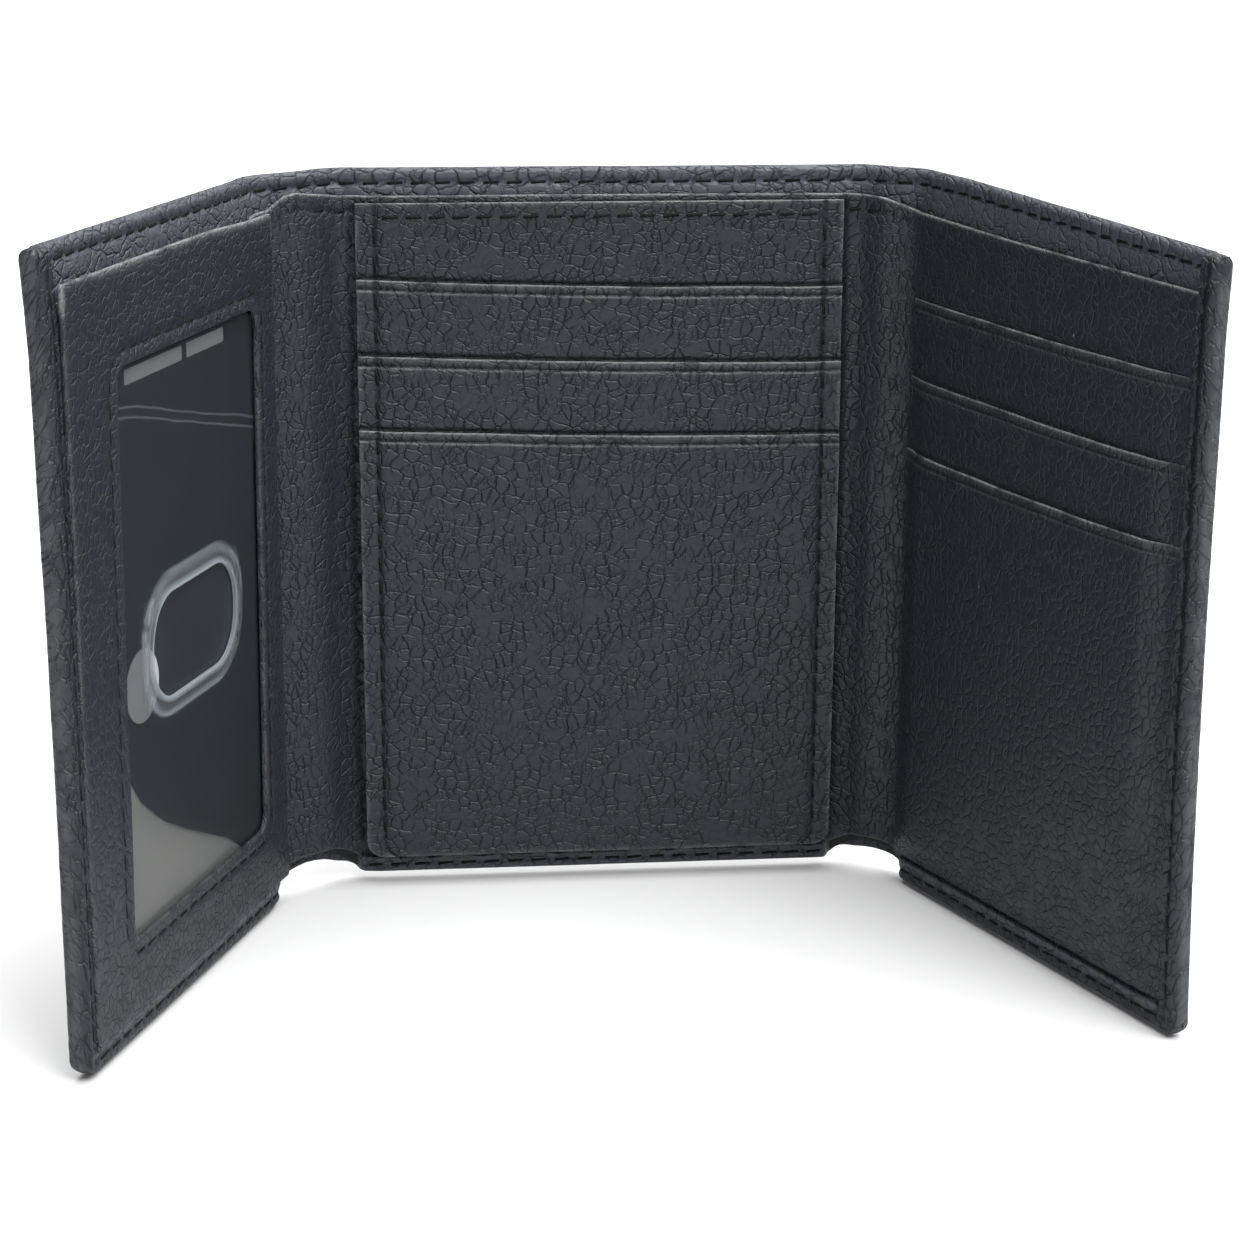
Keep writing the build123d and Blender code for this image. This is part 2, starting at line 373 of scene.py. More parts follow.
# pebbled grain: uneven cells, short creases between them and a fine skin over all
def makePebbleGrain():
    group, given, out = newGroup(
        "pebbleGrain",
        [("Vector", "NodeSocketVector", None), ("Cell", "NodeSocketFloat", 1.9),
         ("Crease", "NodeSocketFloat", 0.5)],
        [("Height", "NodeSocketFloat"), ("Valley", "NodeSocketFloat"), ("Patch", "NodeSocketFloat")])
    perCell = mathNode(group, "DIVIDE", 1000.0, given.outputs["Cell"])
    apart = addNode(group, "ShaderNodeSeparateXYZ", None, Vector=given.outputs["Vector"])
    wrapped = []      # the pattern runs on round the rolled edges instead of streaking
    for value, centre in ((apart.outputs["X"], 0.0), (apart.outputs["Y"], wallet["height"] / 2 * mm)):
        outward = mapRange(group, value, centre - 0.04, centre + 0.04, -1.0, 1.0)
        wrapped.append(mathNode(group, "SUBTRACT", value, times(group, outward, apart.outputs["Z"])))
    flat = addNode(group, "ShaderNodeCombineXYZ", None, X=wrapped[0], Y=wrapped[1]).outputs[0]
    warp = addNode(group, "ShaderNodeTexNoise", {"noise_dimensions": "2D"},
                   Vector=flat, Scale=380.0, Detail=3.0)
    shift = addNode(group, "ShaderNodeVectorMath", {"operation": "SCALE"}, _0=warp.outputs["Color"])
    shift.inputs["Scale"].default_value = 0.0015
    place = addNode(group, "ShaderNodeVectorMath", {"operation": "ADD"},
                    _0=flat, _1=shift.outputs[0]).outputs[0]

    # lines between the cells, broken up by a noise that keeps only what lies above low
    def cracks(scale, width, low, high, spread):
        flatCells = {"feature": "DISTANCE_TO_EDGE", "voronoi_dimensions": "2D"}
        cells = addNode(group, "ShaderNodeTexVoronoi", flatCells, Vector=place, Scale=scale).outputs["Distance"]
        line = mapRange(group, cells, 0.0, width, 1.0, 0.0)
        return times(group, line, mapRange(group, noiseAt(group, place, spread, 1.0), low, high)), cells

    wide, dome = cracks(perCell, 0.11, 0.36, 0.52, 320.0)
    fine = cracks(times(group, perCell, 1.8), 0.14, 0.4, 0.56, 420.0)[0]
    fine = times(group, fine, given.outputs["Crease"])
    height = times(group, mapRange(group, dome, 0.0, 0.3), 0.22)
    height = mathNode(group, "SUBTRACT", height, times(group, wide, 0.7))
    height = mathNode(group, "SUBTRACT", height, times(group, fine, 0.45))
    height = mathNode(group, "ADD", height, times(group, noiseAt(group, place, 3000.0, 3.0), 0.08))
    feed(group, out.inputs["Height"], height)
    feed(group, out.inputs["Valley"], mathNode(group, "MAXIMUM", wide, fine))
    patch = noiseAt(group, given.outputs["Vector"], 45.0, 3.0)
    feed(group, out.inputs["Patch"], mapRange(group, patch, 0.3, 0.7))
    return group


# plain weave: threads over and under, for linings
def makeWeave():
    group, given, out = newGroup(
        "weave", [("Vector", "NodeSocketVector", None), ("Pitch", "NodeSocketFloat", 0.4)],
        [("Height", "NodeSocketFloat"), ("Thread", "NodeSocketFloat")])
    apart = addNode(group, "ShaderNodeSeparateXYZ", None, Vector=given.outputs["Vector"])
    perThread = mathNode(group, "DIVIDE", 1000.0 * math.pi, given.outputs["Pitch"])
    wave = [mathNode(group, "SINE", times(group, apart.outputs[axis], perThread)) for axis in (0, 1)]
    over = times(group, *wave)
    feed(group, out.inputs["Height"], mathNode(group, "ABSOLUTE", over))
    feed(group, out.inputs["Thread"], mapRange(group, over, -0.4, 0.4))
    return group


# dust: few small pale specks
def makeDust():
    group, given, out = newGroup(
        "dust", [("Vector", "NodeSocketVector", None), ("Amount", "NodeSocketFloat", 0.1)],
        [("Mask", "NodeSocketFloat")])
    cells = addNode(group, "ShaderNodeTexVoronoi", None, Vector=given.outputs["Vector"], Scale=420.0)
    chance = addNode(group, "ShaderNodeSeparateColor", None, Color=cells.outputs["Color"])
    rare = mathNode(group, "LESS_THAN", chance.outputs[0], given.outputs["Amount"])
    small = mapRange(group, cells.outputs["Distance"], 0.05, 0.11, 1.0, 0.0)
    feed(group, out.inputs["Mask"], times(group, rare, small))
    return group


pebbleGrain, weave, dust = makePebbleGrain(), makeWeave(), makeDust()


def startMaterial(name):
    material = bpy.data.materials.new(name)
    material.use_nodes = True
    tree = material.node_tree
    shader = tree.nodes["Principled BSDF"]
    return material, tree, shader, readAttribute(tree, "flatPlace", "Vector")


def useGroup(tree, group, **values):
    return addNode(tree, "ShaderNodeGroup", {"node_tree": group}, **values)


def paint(tree, shader, colour, rough):
    feed(tree, shader.inputs["Base Color"], colour)
    feed(tree, shader.inputs["Roughness"], rough)


def addBump(tree, shader, height, strength, distance):
    bump = addNode(tree, "ShaderNodeBump", None, Strength=strength, Distance=distance, Height=height)
    feed(tree, shader.inputs["Normal"], bump.outputs[0])


# edge above 0 is lighter, partly rubbed wear and partly painted highlight; below 0 it is painted shade in
# grooves, creases and under slot edges
def leatherMaterial(name, look):
    material, tree, shader, place = startMaterial(name)
    grain = useGroup(tree, pebbleGrain, Vector=place, Cell=look["cell"], Crease=look["crease"])
    edge = readAttribute(tree, "edge")
    edgeBreakup = mapRange(tree, noiseAt(tree, place, 260.0, 4.0), 0.3, 0.55)
    wearAndHighlight = times(tree, mathNode(tree, "MAXIMUM", edge, 0.0), edgeBreakup)
    # painted shade: the edge attribute below 0 is mixed toward the valley colour and made rougher
    gap = times(tree, mathNode(tree, "MINIMUM", edge, 0.0), -1.0)
    colour = mixColour(tree, grain.outputs["Patch"], look["dark"], look["light"])
    # painted highlight on the hem and turned edges, read from the hem attribute
    if "hem" in look:
        colour = mixColour(tree, readAttribute(tree, "hem"), colour, look["hem"])
    valley = grain.outputs["Valley"]
    colour = mixColour(tree, times(tree, valley, look["darkLines"]), colour, look["valley"])
    colour = mixColour(tree, gap, colour, look["valley"])
    # lighter edges: partly rubbed wear, partly painted highlight
    colour = mixColour(tree, times(tree, wearAndHighlight, look["wearAndHighlightAmount"]), colour, look["wearAndHighlight"])
    specks = useGroup(tree, dust, Vector=place, Amount=look["dust"]).outputs["Mask"]
    colour = mixColour(tree, times(tree, specks, 0.5), colour, look["wearAndHighlight"])
    rough = mapRange(tree, valley, 0.0, 1.0, look["rough"], look["rough"] + 0.16)
    paint(tree, shader, colour, mathNode(tree, "ADD", rough, times(tree, gap, 0.4)))
    addBump(tree, shader, grain.outputs["Height"], look["bump"], 0.00034)
    shader.inputs["Specular IOR Level"].default_value = look["shine"]
    return material


# the hem colour is a painted highlight: lighter leather where the hem and turned edges would catch light from
# above and from the floor
outerLeather = leatherMaterial("outerLeather", {
    "dark": (0.017, 0.0195, 0.026, 1), "light": (0.021, 0.0235, 0.031, 1), "valley": (0.004, 0.0045, 0.0065, 1),
    "hem": (0.085, 0.088, 0.108, 1), "wearAndHighlight": (0.2, 0.21, 0.22, 1), "wearAndHighlightAmount": 0.25, "cell": 2.2, "crease": 0.8,
    "bump": 0.9, "rough": 0.38, "shine": 0.45, "dust": 0.02, "darkLines": 0.35})
innerLeather = leatherMaterial("innerLeather", {
    "dark": (0.0225, 0.0255, 0.0335, 1), "light": (0.0245, 0.0275, 0.0355, 1),
    "valley": (0.003, 0.0035, 0.005, 1), "wearAndHighlight": (0.36, 0.37, 0.37, 1), "wearAndHighlightAmount": 0.65, "cell": 1.5, "crease": 0.7, "bump": 0.7, "rough": 0.4,
    "shine": 0.45, "dust": 0.02, "darkLines": 0.35})


def clothMaterial(name, look):
    material, tree, shader, place = startMaterial(name)
    threads = useGroup(tree, weave, Vector=place, Pitch=look["pitch"])
    patch = noiseAt(tree, place, 60.0, 4.0)
    colour = mixColour(tree, threads.outputs["Thread"], look["warp"], look["weft"])
    colour = mixColour(tree, mapRange(tree, patch, 0.3, 0.7, 0.0, look["patch"]), colour, look["dusty"])
    paint(tree, shader, colour, mapRange(tree, patch, 0.3, 0.7, look["rough"], look["rough"] + 0.1))
    addBump(tree, shader, threads.outputs["Height"], look["bump"], 0.00008)
    shader.inputs["Sheen Weight"].default_value = 0.15
    return material


darkLining = clothMaterial("darkLining", {
    "warp": (0.012, 0.0125, 0.014, 1), "weft": (0.018, 0.019, 0.021, 1), "dusty": (0.04, 0.04, 0.042, 1),
    "patch": 0.3, "pitch": 0.5, "bump": 0.5, "rough": 0.6})
greyLining = clothMaterial("greyLining", {
    "warp": (0.45, 0.455, 0.42, 1), "weft": (0.5, 0.505, 0.47, 1), "dusty": (0.38, 0.395, 0.395, 1),
    "patch": 0.5, "pitch": 0.45, "bump": 0.25, "rough": 0.5})


def threadMaterial():
    material, tree, shader, place = startMaterial("blackThread")
    twist = addNode(tree, "ShaderNodeTexWave", {"bands_direction": "DIAGONAL"}, Vector=place, Scale=900.0)
    twist = twist.outputs["Fac"]
    paint(tree, shader, mixColour(tree, twist, (0.002, 0.002, 0.0025, 1), (0.008, 0.008, 0.009, 1)), 0.7)
    addBump(tree, shader, twist, 0.5, 0.00006)
    shader.inputs["Specular IOR Level"].default_value = 0.25
    return material


blackThread = threadMaterial()


# two faint creases cross the vinyl: where each meets u = 0, their slope and their width, in metres
vinylCreases = {"heights": (0.0608, 0.0622), "slope": 0.24, "wander": 0.0022, "width": 0.0003}


def vinylMaterial():
    material, tree, shader, place = startMaterial("clearVinyl")
    haze = noiseAt(tree, place, 70.0, 5.0)
    edge = readAttribute(tree, "edge")
    apart = addNode(tree, "ShaderNodeSeparateXYZ", None, Vector=place)
    sloping = mathNode(tree, "ADD", apart.outputs["Y"], times(tree, apart.outputs["X"], vinylCreases["slope"]))
    sloping = mathNode(tree, "ADD", sloping, times(tree, haze, vinylCreases["wander"]))
    for height in vinylCreases["heights"]:
        off = mathNode(tree, "ABSOLUTE", mathNode(tree, "SUBTRACT", sloping, height))
        edge = mathNode(tree, "MAXIMUM", edge, mapRange(tree, off, 0.0, vinylCreases["width"], 0.3, 0.0))
    colour = mixColour(tree, edge, (0.05, 0.056, 0.062, 1), (0.5, 0.54, 0.58, 1))
    paint(tree, shader, colour, mapRange(tree, haze, 0.3, 0.7, 0.08, 0.2))
    facing = addNode(tree, "ShaderNodeLayerWeight", None, Blend=0.3).outputs["Fresnel"]
    cloudy = mathNode(tree, "ADD", times(tree, facing, 0.3), times(tree, edge, 0.3))
    feed(tree, shader.inputs["Alpha"], mathNode(tree, "ADD", cloudy, 0.12, clamp=True))
    addBump(tree, shader, noiseAt(tree, place, 180.0, 2.0), 0.15, 0.0002)
    return material


clearVinyl = vinylMaterial()


# plain shapes printed on the card: left, right, bottom, top and corner radius in mm
insertPrint = {"ink": (0.5, 0.51, 0.52, 1), "blur": 0.08,
               "shapes": [(-98.0, -80.5, 87.5, 89.5, 0.3), (-79.0, -67.0, 87.5, 89.5, 0.3),
                          (-101.5, -91.5, 42.0, 52.0, 5.0)]}


# 1 inside a box with round corners, laid on the card's own flat places
def roundedBox(tree, place, left, right, bottom, top, corner):
    apart = addNode(tree, "ShaderNodeSeparateXYZ", None, Vector=place)
    past = []
    for value, low, high in ((apart.outputs["X"], left, right), (apart.outputs["Y"], bottom, top)):
        off = mathNode(tree, "ABSOLUTE", mathNode(tree, "SUBTRACT", value, (low + high) / 2 * mm))
        straight = ((high - low) / 2 - corner) * mm
        past.append(mathNode(tree, "MAXIMUM", mathNode(tree, "SUBTRACT", off, straight), 0.0))
    square = [times(tree, value, value) for value in past]
    distance = mathNode(tree, "SQRT", mathNode(tree, "ADD", *square))
    blur = insertPrint["blur"]
    return mapRange(tree, distance, (corner - blur) * mm, (corner + blur) * mm, 1.0, 0.0)


def insertMaterial():
    material, tree, shader, place = startMaterial("insertCard")
    mottle = noiseAt(tree, place, 90.0, 5.0)
    colour = mixColour(tree, mottle, (0.026, 0.0305, 0.0365, 1), (0.031, 0.036, 0.042, 1))
    mask = 0.0
    for shape in insertPrint["shapes"]:
        mask = mathNode(tree, "MAXIMUM", roundedBox(tree, place, *shape), mask)
    colour = mixColour(tree, mask, colour, insertPrint["ink"])
    paint(tree, shader, colour, mapRange(tree, mottle, 0.3, 0.7, 0.32, 0.45))
    return material


insertCard = insertMaterial()
print("materials ready")


# small shapes that several pieces share
def fromSpine(u, side):
    return np.abs(u - middle[side])


# 1 where the turned lip runs along the bottom, 0 across a spine
def lipShare(u, side):
    return smooth((fromSpine(u, side) - skin["notch"][side] + 0.7) / 1.4)


# the bottom edge arches up across each spine
def arch(u, z, side):
    across = np.clip(1 - (fromSpine(u, side) / skin["notch"][side]) ** 2, 0, 1)
    return skin["notchRise"][side] * (across * np.clip(1 - z / 12, 0, 1))


# a wing's top edge slopes down to its outer corner
def drop(u, z, side):
    past = np.clip((np.abs(u) - skin["dropFrom"]) / (abs(wallet[side]) - skin["dropFrom"]), 0, 1)
    return skin["topDrop"][side] * past * smooth((z - 80) / 28)


# how far the top of the shell and its lining stand off from the layers in front
def standOff(u, z, side):
    past = smooth((np.abs(u) - 60) / 50)
    return skin["gape"][side] * smooth((z - 40) / 68) * past + skin["lean"][side] * smooth((z - 94) / 16)


# the outer skin: hem over the top, turned edge at the bottom and at both outer ends
skin = {
    "hem": 99.0, "hemSeam": 105.8, "seam": 1.95, "ridge": 3.35, "centreLift": 1.1,
    "endWidth": 3.4, "endSeam": 2.2,
    "notch": {"left": 8.7, "right": 7.5}, "notchRise": {"left": 3.9, "right": 2.9},      # half width and height
    "cornerLift": {"left": 3.4, "right": 1.6}, "corner": 2.2,
    "dropFrom": 58, "topDrop": {"left": 0.0, "right": 2.4},
    "gape": {"left": 0.5, "right": 0.1}, "lean": {"left": 0.7, "right": 0.35}, "round": 1.25, "step": 0.75,
}


def skinRelief(side):
    fold, end, lipFront = folds[side], abs(wallet[side]), leather["lip"][side]

    def relief(u, z, front, back, distance):
        fromEnd = end - np.abs(u)
        bend = np.exp(-(np.maximum(fromSpine(u, side) - 3, 0) / 5) ** 2)
        hem = smooth((z - skin["hem"] + 0.3) / 0.5)
        front = front + (leather["hem"] - leather["skin"]) * hem
        front = front + hem * (0.13 * (pebbles(u, z, 3.2) - 0.6) + 0.12 * waves(u, z, (4.5, 9)))
        front = front + 0.2 * bend * waves(u, z, (1.3, 14), 4.0)
        front = front - 0.34 * ridge(z, skin["hemSeam"], 0.42) + 0.18 * ridge(z, 107.1, 0.6)
        back = back - 0.05 * pebbles(u, z, 2.2, 7.0) + 0.08 * waves(u, z, (14, 14), 2.0)
        wavy = 0.65 + 0.9 * waves(u, z * 0, (2.4, 1), 5.0)
        lip = lipFront + 0.36 * wavy * ridge(z, skin["ridge"], 0.42) - 0.22 * ridge(z, skin["seam"], 0.38)
        lipZone = smooth((wallet["lipTop"] + 0.15 - z) / 0.3) * lipShare(u, side)
        front = np.maximum(front, front + (lip - front) * lipZone)
        rolled = lipFront + 0.2 * ridge(fromEnd, 0.9, 0.6) - 0.3 * ridge(fromEnd, skin["endSeam"], 0.4)
        endZone = smooth((skin["endWidth"] + 0.15 - fromEnd) / 0.3)
        front = np.maximum(front, front + (rolled + 0.05 * waves(u, z, (3, 4)) - front) * endZone)
        placeZ = z + arch(u, z, side) - drop(u, z, side)
        placeZ = placeZ + inset(fromEnd, skin["cornerLift"][side]) * np.clip(1 - z / 10, 0, 1)
        low = np.clip(1 - z / wallet["lipTop"], 0, 1)
        placeZ = placeZ + skin["centreLift"] * smooth((41 - np.abs(u)) / 4) * low
        tuck = inset(np.minimum(z + 1.0, wallet["height"] - z + 2.2), skin["corner"]) * smooth(1 - fromEnd / 12)
        off = standOff(u, z, side)
        return front - off, back - off, u - fold["sign"] * tuck, placeZ

    return relief


# how much painted highlight shows, a lighter colour standing in for light from above and from the floor: on the
# top hem, the lip's ridge, the centre's lip, the arches' edges
def hemHighlightShare(side):
    def share(u, z):
        hem = smooth((z - skin["hem"] + 0.2) / 0.6)
        ridgeLine = 0.9 * ridge(z, skin["ridge"], 0.75)
        centreLip = 0.8 * smooth((wallet["lipTop"] - z) / 0.4) * smooth((40 - np.abs(u)) / 3)
        archEdge = 0.6 * smooth((skin["notch"][side] - fromSpine(u, side)) / 1.5) * smooth((3 - z) / 2)
        turned = np.maximum(np.maximum(hem, ridgeLine), np.maximum(centreLip, archEdge))
        return turned * smooth((abs(wallet[side]) - np.abs(u) - 3.0) / 1.2)

    return share


def seamSteps(*places):
    return [(place, [-0.75, -0.45, -0.15, 0.15, 0.45, 0.75]) for place in places]


skinZ = seamSteps(skin["hemSeam"], skin["seam"])
skinZ += [(3.75, [-0.75, -0.4, -0.05, 0.25, 0.5]), (skin["hem"], [-0.3, 0, 0.2])]


def skinQuarter(name, spec, side, line):
    sign, end = folds[side]["sign"], wallet[side]
    fineU = [(middle[side] + way * skin["notch"][side], [-0.7, -0.35, 0, 0.35, 0.7]) for way in (-1, 1)]
    fineU = [(place, steps) for place, steps in fineU if spec["left"] < place < spec["right"]]
    if line == "outer":
        fineU += [(end - sign * skin["endSeam"], [-0.45, -0.15, 0.15, 0.45]),
                  (end - sign * skin["endWidth"], [-0.2, 0, 0.2])]
    spec = dict(spec, bottom=0, top=wallet["height"], back=0, front=leather["skin"], round=skin["round"],
                step=skin["step"], fineU=fineU, fineZ=skinZ, hem=hemHighlightShare(side))
    return sheet(name, spec, None, outerLeather, skinRelief(side))


foldedLayer("skin", wallet["left"], wallet["right"],
            [["shell_left_wing", "shell_left_spine"], ["shell_centre"],
             ["shell_right_spine"], ["shell_right_wing"]],
            skinQuarter)
print("outer skin ready")

# the front wall of the note pocket, which bulges into a gusset at each spine
wall = {"bottom": 3.6, "leftEnd": -56.5, "seam": wallet["wallTop"] - 2.2, "blockEdge": 35.75, "step": 0.75,
        "bulge": {"left": 1.3, "right": 1.0}, "rise": 0.67,      # share of the skin's arch
        "top": {      # how the top edge runs up and down: distances from the middle, then heights
                "left": [(0, 30, 38, 44.5, 46.8, 48.5, 51, 57), (0.6, 0.6, 0.7, 1.6, 1.9, 1.4, -0.3, -0.8)],
                "right": [(0, 30, 38, 43, 47, 50, 72, 117), (0.6, 0.5, 0.4, 0.3, -0.9, -1.5, -2.3, -3.0)]}}


def wallRelief(side):
    def relief(u, z, front, back, distance):
        near = fromSpine(u, side)
        seamed = smooth((50 - np.abs(u)) / 3)
        loose = smooth(1 - near / 11)
        bulge = wall["bulge"][side] * smooth(1 - near / 9.5) + 0.12 * waves(u, z, (3.0, 30), 1.0) * loose
        crease = 0.13 * loose * waves(u, z, (1.6, 11), 3.0) - 0.55 * ridge(np.abs(u), wall["blockEdge"], 0.5)
        front = front + bulge + crease - 0.26 * seamed * ridge(z, wall["seam"], 0.4)
        top = np.interp(np.abs(u), *wall["top"][side])
        placeZ = z + wall["rise"] * arch(u, z - wall["bottom"], side) + top * smooth((z - 90) / 14)
        return front, back + bulge, u, placeZ

    return relief


def wallQuarter(name, spec, side, line):
    spec = dict(spec, bottom=wall["bottom"], top=wallet["wallTop"], back=leather["wallBack"],
                front=leather["wallFront"], round=0.35, step=wall["step"], fineZ=seamSteps(wall["seam"]))
    return sheet(name, spec, None, innerLeather, wallRelief(side))


foldedLayer("wall", wall["leftEnd"], wallet["right"] - wallet["inside"],
            [["gusset_left"], ["bill_wall_centre"], ["gusset_right"], ["bill_wall_right"]], wallQuarter)
print("note pocket wall ready")

# the card pockets: each strip has a creased slot edge, and the block has stitched sides
pocket = {"thick": 0.5, "gap": 0.1, "bottom": 4.5, "overlap": 3.0, "crease": 1.25, "round": 0.22, "step": 0.7,
          "sag": 0.45, "cheek": 0.16}
block = {"half": 35.3, "top": 103.3, "back": 2.9, "backFront": 3.5, "slots": [91.6, 80.6, 69.8], "seam": 32.6,
         "topSeam": 101.3, "corner": 2.6, "tilt": 0.85}
wing = {"left": 50.3, "right": 113.5, "slots": [89.8, 78.4, 67.6], "back": 2.6}


# the wing's pockets press together where they run into the outer seam and the bottom seam
def pressed(u, z):
    near = np.minimum(1 - smooth((u - 107) / 5.5), 0.25 + 0.75 * smooth((z - 4) / 5))
    near = np.minimum(near, 0.35 + 0.65 * smooth((u - wing["left"]) / 5))
    return np.where(u > 49, np.maximum(near, 0.12), 1.0)


def bellyShare(u, spec):
    return 1 - ((2 * u - spec["left"] - spec["right"]) / (spec["right"] - spec["left"])) ** 2


# how far a slot's edge leaves its straight line, and how far the whole strip is tilted
def slotShift(u, spec):
    return 0.12 * waves(u, u * 0, (9, 1), spec["top"]) - pocket["sag"] * bellyShare(u, spec)


def pocketTilt(u, tilt, fromTop):
    return -tilt * u / 35 * smooth(1 - fromTop / 20)


def pocketRelief(spec, seams, tilt, slotted):
    def relief(u, z, front, back, distance):
        fromTop = spec["top"] - z
        front = front + 0.08 * waves(u, z, (24, 18))
        if slotted:
            front = front - 0.2 * ridge(fromTop, pocket["crease"], 0.22)
            front = front + pocket["cheek"] * bellyShare(u, spec) * np.exp(-fromTop / 7)
        if "groove" in spec:
            front = front - 0.3 * spec.get("bold", 1) * ridge(z, spec["groove"](u) + 0.05, 0.3)
        for seam in seams:
            front = front - 0.3 * ridge(u, seam, 0.42)
        placeZ = z + slotShift(u, spec) * smooth(1 - fromTop / 9) * slotted + pocketTilt(u, tilt, fromTop)
        front, back = (wing["back"] + (depth - wing["back"]) * pressed(u, z) for depth in (front, back))
        return front, back, u, placeZ

    return relief


# one strip; a painted shadow line lies on it at nextSlot, under the edge of the strip below
def cardPocket(name, body, spec, seams, tilt, slotted, nextSlot, nextTilt):
    spec = dict(spec, round=pocket["round"], step=pocket["step"])
    bold = spec.get("bold", 1)
    spec["fineU"] = [(seam, [-0.6, -0.35, -0.1, 0.1, 0.35, 0.6]) for seam in seams]
    # painted shade along the seams
    spec["columns"] = [(seam, 0.3, -0.75) for seam in seams]
    if slotted:
        crease = spec["top"] - pocket["crease"]
        spec["fineZ"] = [(crease, [-0.6, -0.35, -0.15, 0, 0.15, 0.35])]
        # painted shade in the crease and a painted highlight on the lip just below it
        spec["lines"] = [(crease, 0.14, -0.7 * bold), (crease - 0.36, 0.16, 0.55 * bold)]
    if nextSlot:
        def shadeLine(u):
            rise = slotShift(u, dict(spec, top=nextSlot)) - pocketTilt(u, tilt, spec["top"] - nextSlot)
            return nextSlot + 0.2 + rise + pocketTilt(u, nextTilt, 0)

        spec["fineZ"] = spec.get("fineZ", []) + [(nextSlot, list(np.arange(-1.25, 1.3, 0.25)))]
        # painted shadow under the next strip's edge
        spec["lines"] = spec.get("lines", []) + [(shadeLine, 0.28, -bold)]
        spec["groove"] = shadeLine
    return sheet(name, spec, body, innerLeather, pocketRelief(spec, seams, tilt, slotted))


def cardPockets(prefix, cadPrefix, body, left, right, slots, firstBack, seams, tilt, corner, look):
    for index, (level, slot) in enumerate(zip(("Top", "Middle", "Bottom"), slots)):
        last = index == len(slots) - 1
        back = firstBack + index * (pocket["thick"] + pocket["gap"])
        bottom = pocket["bottom"] if last else slots[index + 1] - pocket["overlap"]
        spec = dict(look, left=left, right=right, bottom=bottom, top=slot,
                    back=back, front=back + pocket["thick"])
        spec["corner"] = corner if last else 0.0
        piece = cardPocket(prefix + level, body, spec, seams, tilt, 1, None if last else slots[index + 1], tilt)
        standsFor(piece, f"{cadPrefix}_pocket_{level.lower()}", body)


blockSeams = [-block["seam"], block["seam"]]
spec = {"left": -block["half"], "right": block["half"], "bottom": pocket["bottom"], "top": block["top"],
        "back": block["back"], "front": block["backFront"], "corner": block["corner"]}
blockBack = cardPocket("blockBack", "centre", spec, blockSeams, 0.0, 0, block["slots"][0], block["tilt"])
standsFor(blockBack, "card_block_back", "centre")
cardPockets("cardPocket", "card", "centre", -block["half"], block["half"], block["slots"],
            block["backFront"] + pocket["gap"], blockSeams, block["tilt"], block["corner"], {})
cardPockets("wingPocket", "wing", "right_wing", wing["left"], wing["right"], wing["slots"],
            wing["back"], [], 0.0, 0.0, {"edges": "T", "bold": 0.35})
print("card pockets ready")


# a sheet with an opening: rows of points run round it, from the opening out to the edge
def roundedLoop(box, radius, across, upright):
    left, right, bottom, top = box
    tip = (1 - math.sqrt(0.5)) * radius      # where a round corner is halfway through its turn

    def dip(place, low, high):
        return inset(np.minimum(place - low, high - place), radius) if radius else place * 0

    u, z = left + tip + across * (right - left - 2 * tip), bottom + tip + upright * (top - bottom - 2 * tip)
    dipU, dipZ = dip(u, left, right), dip(z, bottom, top)
    sides = [(u, bottom + dipU), (right - dipZ, z), (u[::-1], top - dipU[::-1]), (left + dipZ[::-1], z[::-1])]
    return np.concatenate([np.column_stack(side)[:-1] for side in sides])


def loopShares(length, step, corner):
    near = [corner * share for share in (0.08, 0.25, 0.55)]
    return linesBetween(0, length, step, [(0, near), (length, [-offset for offset in near])]) / length


# inner and outer are (box, corner radius); shares say where the rows lie between them
def ringSheet(name, inner, outer, step, corner, shares):
    left, right, bottom, top = inner[0]
    across, upright = loopShares(right - left, step, corner), loopShares(top - bottom, step, corner)
    inner, outer = (roundedLoop(*edge, across, upright) for edge in (inner, outer))
    around, rows = len(inner), len(shares) - 1
    obj = namedGrid(name, around, rows)
    co = placesOf(obj)
    index = np.rint((co[:, 0] + 1) / 2 * around).astype(int) % around
    share = np.asarray(shares)[np.rint((co[:, 1] + 1) / 2 * rows).astype(int)][:, None]
    flat = inner[index] * (1 - share) + outer[index] * share
    obj.data.vertices.foreach_set("co", np.column_stack([flat, flat[:, 0] * 0]).astype(np.float32).ravel())
    inEditMode(obj, lambda: bpy.ops.mesh.remove_doubles(threshold=0.0005))
    thicken(obj)
    co = placesOf(obj)
    return obj, co[:, 0], co[:, 1], co[:, 2] > 0


# distance outside a box with round corners, negative inside
def outsideOf(u, z, box, radius):
    left, right, bottom, top = box
    du = np.abs(u - (left + right) / 2) - (right - left) / 2 + radius
    dz = np.abs(z - (bottom + top) / 2) - (top - bottom) / 2 + radius
    return np.hypot(np.maximum(du, 0), np.maximum(dz, 0)) + np.minimum(np.maximum(du, dz), 0) - radius


# the identity window of the left wing
window = {"box": (-103.2, -58.9, 14.0, 90.6), "corner": 2.5, "slant": 0.9, "seam": 2.1}
frameLook = {"box": (-116.1, -51.8, 3.7, 103.5), "corner": 0.6, "back": 2.6, "front": 3.4,
             "round": 0.3, "rows": 22}
vinyl = {"hole": (-94.0, -67.0, 43.2, 57.6), "holeCorner": 6.6, "back": 2.3, "front": 2.5, "overlap": 2.6,
         "ringWidth": 2.4, "ringHeight": 0.4, "round": 0.09}


# the window leans a little to one side
def slanted(u, z):
    return u + window["slant"] * (z - 52) / 38


